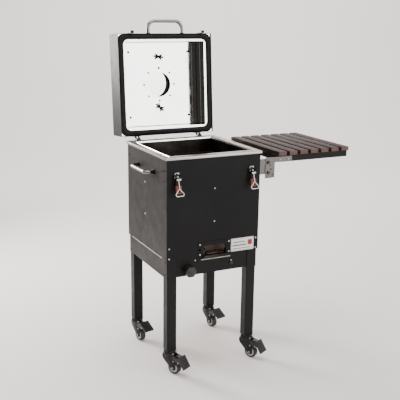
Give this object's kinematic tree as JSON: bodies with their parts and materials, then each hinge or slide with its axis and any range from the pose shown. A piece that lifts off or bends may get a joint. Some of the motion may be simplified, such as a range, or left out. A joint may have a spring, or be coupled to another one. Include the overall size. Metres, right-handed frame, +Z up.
{
  "type": "upright smoker",
  "caption": "Square insulated upright smoker on a four-leg caster stand, with a hinged lid, toggle latches, ash drawer and a folding slatted side shelf.",
  "frame": {"origin": "on the floor, under the centre of the whole object's box with the lid open and the shelf up", "axes": "+Z up, -Y to the front with the latches, +X to the folding shelf"},
  "size_m": [0.9742, 0.7078, 1.5335],
  "materials": {
    "panel_black": "satin black powder coat",
    "stand_black": "satin black powder coat on square tube",
    "stainless": "brushed stainless sheet",
    "mirror_steel": "polished stainless",
    "bright_steel": "bright zinc fasteners and wire",
    "grey_bracket": "galvanised plate",
    "dark_grate": "seasoned black rod",
    "gasket_black": "matt heat-proof seal",
    "insulation_wool": "mineral wool",
    "plate_white": "white enamel, blank",
    "grip_red": "dipped red grip",
    "knob_black": "moulded black",
    "slat_wood": "oiled dark hardwood",
    "caster_black": "black coated steel",
    "tyre": "black tread with a light grey core"
  },
  "bodies": {
    "base": {"front_panel": "panel_black", "rear_panel": "panel_black", "left_panel": "panel_black", "right_panel": "panel_black", "firebox_floor": "stainless", "inner_liner": "stainless", "insulation": "insulation_wool", "top_rim": "stainless", "grate_rails": "stainless", "base_pan": "stand_black", "vent_frame": "panel_black", "name_plate": "plate_white", "side_handle": "mirror_steel", "latch_bases": "bright_steel", "hinge_brackets": "stand_black", "hinge_pins": "bright_steel", "shelf_brackets": "grey_bracket", "panel_bolts": "bright_steel", "caster_plates": "caster_black", "end_aprons": "stand_black", "side_aprons": "stand_black", "front_left_leg": "stand_black", "front_right_leg": "stand_black", "rear_left_leg": "stand_black", "rear_right_leg": "stand_black"},
    "lid": {"lid_shell": "panel_black", "lid_gasket": "gasket_black", "lid_liner": "mirror_steel", "lid_insulation": "insulation_wool", "lid_screws": "bright_steel", "lid_handle": "mirror_steel", "lid_strikes": "stand_black", "lid_hinge_leaves": "stand_black"},
    "vent_cover": {"lid_vent_cover": "mirror_steel"},
    "shelf": {"shelf_arms": "grey_bracket", "shelf_frame": "stand_black", "shelf_slats": "slat_wood"},
    "left_lever": {"left_latch_lever": "bright_steel", "left_latch_grip": "grip_red"},
    "left_loop": {"left_latch_loop": "bright_steel"},
    "right_lever": {"right_latch_lever": "bright_steel", "right_latch_grip": "grip_red"},
    "right_loop": {"right_latch_loop": "bright_steel"},
    "damper": {"air_damper": "stainless"},
    "drawer": {"ash_drawer": "stainless"},
    "knob": {"control_knob": "knob_black"},
    "grate": {"cooking_grate": "dark_grate"},
    "basket": {"charcoal_basket": "dark_grate"},
    "front_left_caster": {"front_left_fork": "caster_black"},
    "front_left_roller": {"front_left_wheel": "tyre"},
    "front_left_brake": {"front_left_brake_pedal": "caster_black"},
    "front_right_caster": {"front_right_fork": "caster_black"},
    "front_right_roller": {"front_right_wheel": "tyre"},
    "front_right_brake": {"front_right_brake_pedal": "caster_black"},
    "rear_left_caster": {"rear_left_fork": "caster_black"},
    "rear_left_roller": {"rear_left_wheel": "tyre"},
    "rear_left_brake": {"rear_left_brake_pedal": "caster_black"},
    "rear_right_caster": {"rear_right_fork": "caster_black"},
    "rear_right_roller": {"rear_right_wheel": "tyre"},
    "rear_right_brake": {"rear_right_brake_pedal": "caster_black"}
  },
  "joints": [
    {"name": "lid_hinge", "type": "hinge", "parent": "base", "child": "lid", "pos_m": [-0.2171, 0.19455, 0.9799], "axis": [-1, 0, 0], "range_deg": [-94.6, 0]},
    {"name": "vent_cover_swing", "type": "hinge", "parent": "lid", "child": "vent_cover", "pos_m": [-0.2171, 0.32732, 1.30181], "axis": [0, -0.9967, 0.0809], "range_deg": [-14, 23.9]},
    {"name": "shelf_fold", "type": "hinge", "parent": "base", "child": "shelf", "pos_m": [0.0539, -0.06005, 0.879], "axis": [0, 1, 0], "range_deg": [0, 90]},
    {"name": "left_lever_turn", "type": "hinge", "parent": "base", "child": "left_lever", "pos_m": [-0.3971, -0.29705, 0.901], "axis": [-1, 0, 0], "range_deg": [-12, 103]},
    {"name": "left_loop_swing", "type": "hinge", "parent": "left_lever", "child": "left_loop", "pos_m": [-0.3971, -0.30605, 0.892], "axis": [1, 0, 0], "range_deg": [-177.7, 0]},
    {"name": "right_lever_turn", "type": "hinge", "parent": "base", "child": "right_lever", "pos_m": [-0.0371, -0.29705, 0.901], "axis": [-1, 0, 0], "range_deg": [-12, 103]},
    {"name": "right_loop_swing", "type": "hinge", "parent": "right_lever", "child": "right_loop", "pos_m": [-0.0371, -0.30605, 0.892], "axis": [1, 0, 0], "range_deg": [-177.7, 0]},
    {"name": "damper_slide", "type": "slide", "parent": "base", "child": "damper", "axis": [-1, 0, 0], "range_m": [0, 0.028]},
    {"name": "drawer_slide", "type": "slide", "parent": "base", "child": "drawer", "axis": [0, -1, 0], "range_m": [0, 0.3]},
    {"name": "knob_turn", "type": "hinge", "parent": "base", "child": "knob", "pos_m": [-0.3351, -0.27505, 0.477], "axis": [0, -1, 0], "range_deg": [-135, 135]},
    {"name": "grate_lift", "type": "slide", "parent": "base", "child": "grate", "axis": [0, 0, 1], "range_m": [0, 0.3]},
    {"name": "basket_lift", "type": "slide", "parent": "base", "child": "basket", "axis": [0, 0, 1], "range_m": [0, 0.2]},
    {"name": "front_left_swivel", "type": "hinge", "parent": "base", "child": "front_left_caster", "pos_m": [-0.4136, -0.25655, 0.098], "axis": [0, 0, 1], "continuous": true},
    {"name": "front_left_roll", "type": "hinge", "parent": "front_left_caster", "child": "front_left_roller", "pos_m": [-0.3996, -0.2808, 0.03], "axis": [-0.866, -0.5, 0], "continuous": true},
    {"name": "front_left_brake_press", "type": "hinge", "parent": "front_left_caster", "child": "front_left_brake", "pos_m": [-0.3956, -0.28773, 0.082], "axis": [-0.866, -0.5, 0], "range_deg": [0, 28]},
    {"name": "front_right_swivel", "type": "hinge", "parent": "base", "child": "front_right_caster", "pos_m": [-0.0206, -0.25655, 0.098], "axis": [0, 0, 1], "continuous": true},
    {"name": "front_right_roll", "type": "hinge", "parent": "front_right_caster", "child": "front_right_roller", "pos_m": [-0.0066, -0.2808, 0.03], "axis": [-0.866, -0.5, 0], "continuous": true},
    {"name": "front_right_brake_press", "type": "hinge", "parent": "front_right_caster", "child": "front_right_brake", "pos_m": [-0.0026, -0.28773, 0.082], "axis": [-0.866, -0.5, 0], "range_deg": [0, 28]},
    {"name": "rear_left_swivel", "type": "hinge", "parent": "base", "child": "rear_left_caster", "pos_m": [-0.4136, 0.13645, 0.098], "axis": [0, 0, 1], "continuous": true},
    {"name": "rear_left_roll", "type": "hinge", "parent": "rear_left_caster", "child": "rear_left_roller", "pos_m": [-0.40778, 0.10906, 0.03], "axis": [-0.9781, -0.2079, 0], "continuous": true},
    {"name": "rear_left_brake_press", "type": "hinge", "parent": "rear_left_caster", "child": "rear_left_brake", "pos_m": [-0.40612, 0.10124, 0.082], "axis": [-0.9781, -0.2079, 0], "range_deg": [-28, 0]},
    {"name": "rear_right_swivel", "type": "hinge", "parent": "base", "child": "rear_right_caster", "pos_m": [-0.0206, 0.13645, 0.098], "axis": [0, 0, 1], "continuous": true},
    {"name": "rear_right_roll", "type": "hinge", "parent": "rear_right_caster", "child": "rear_right_roller", "pos_m": [-0.01478, 0.10906, 0.03], "axis": [-0.9781, -0.2079, 0], "continuous": true},
    {"name": "rear_right_brake_press", "type": "hinge", "parent": "rear_right_caster", "child": "rear_right_brake", "pos_m": [-0.01311, 0.10124, 0.082], "axis": [-0.9781, -0.2079, 0], "range_deg": [-28, 0]}
  ]
}
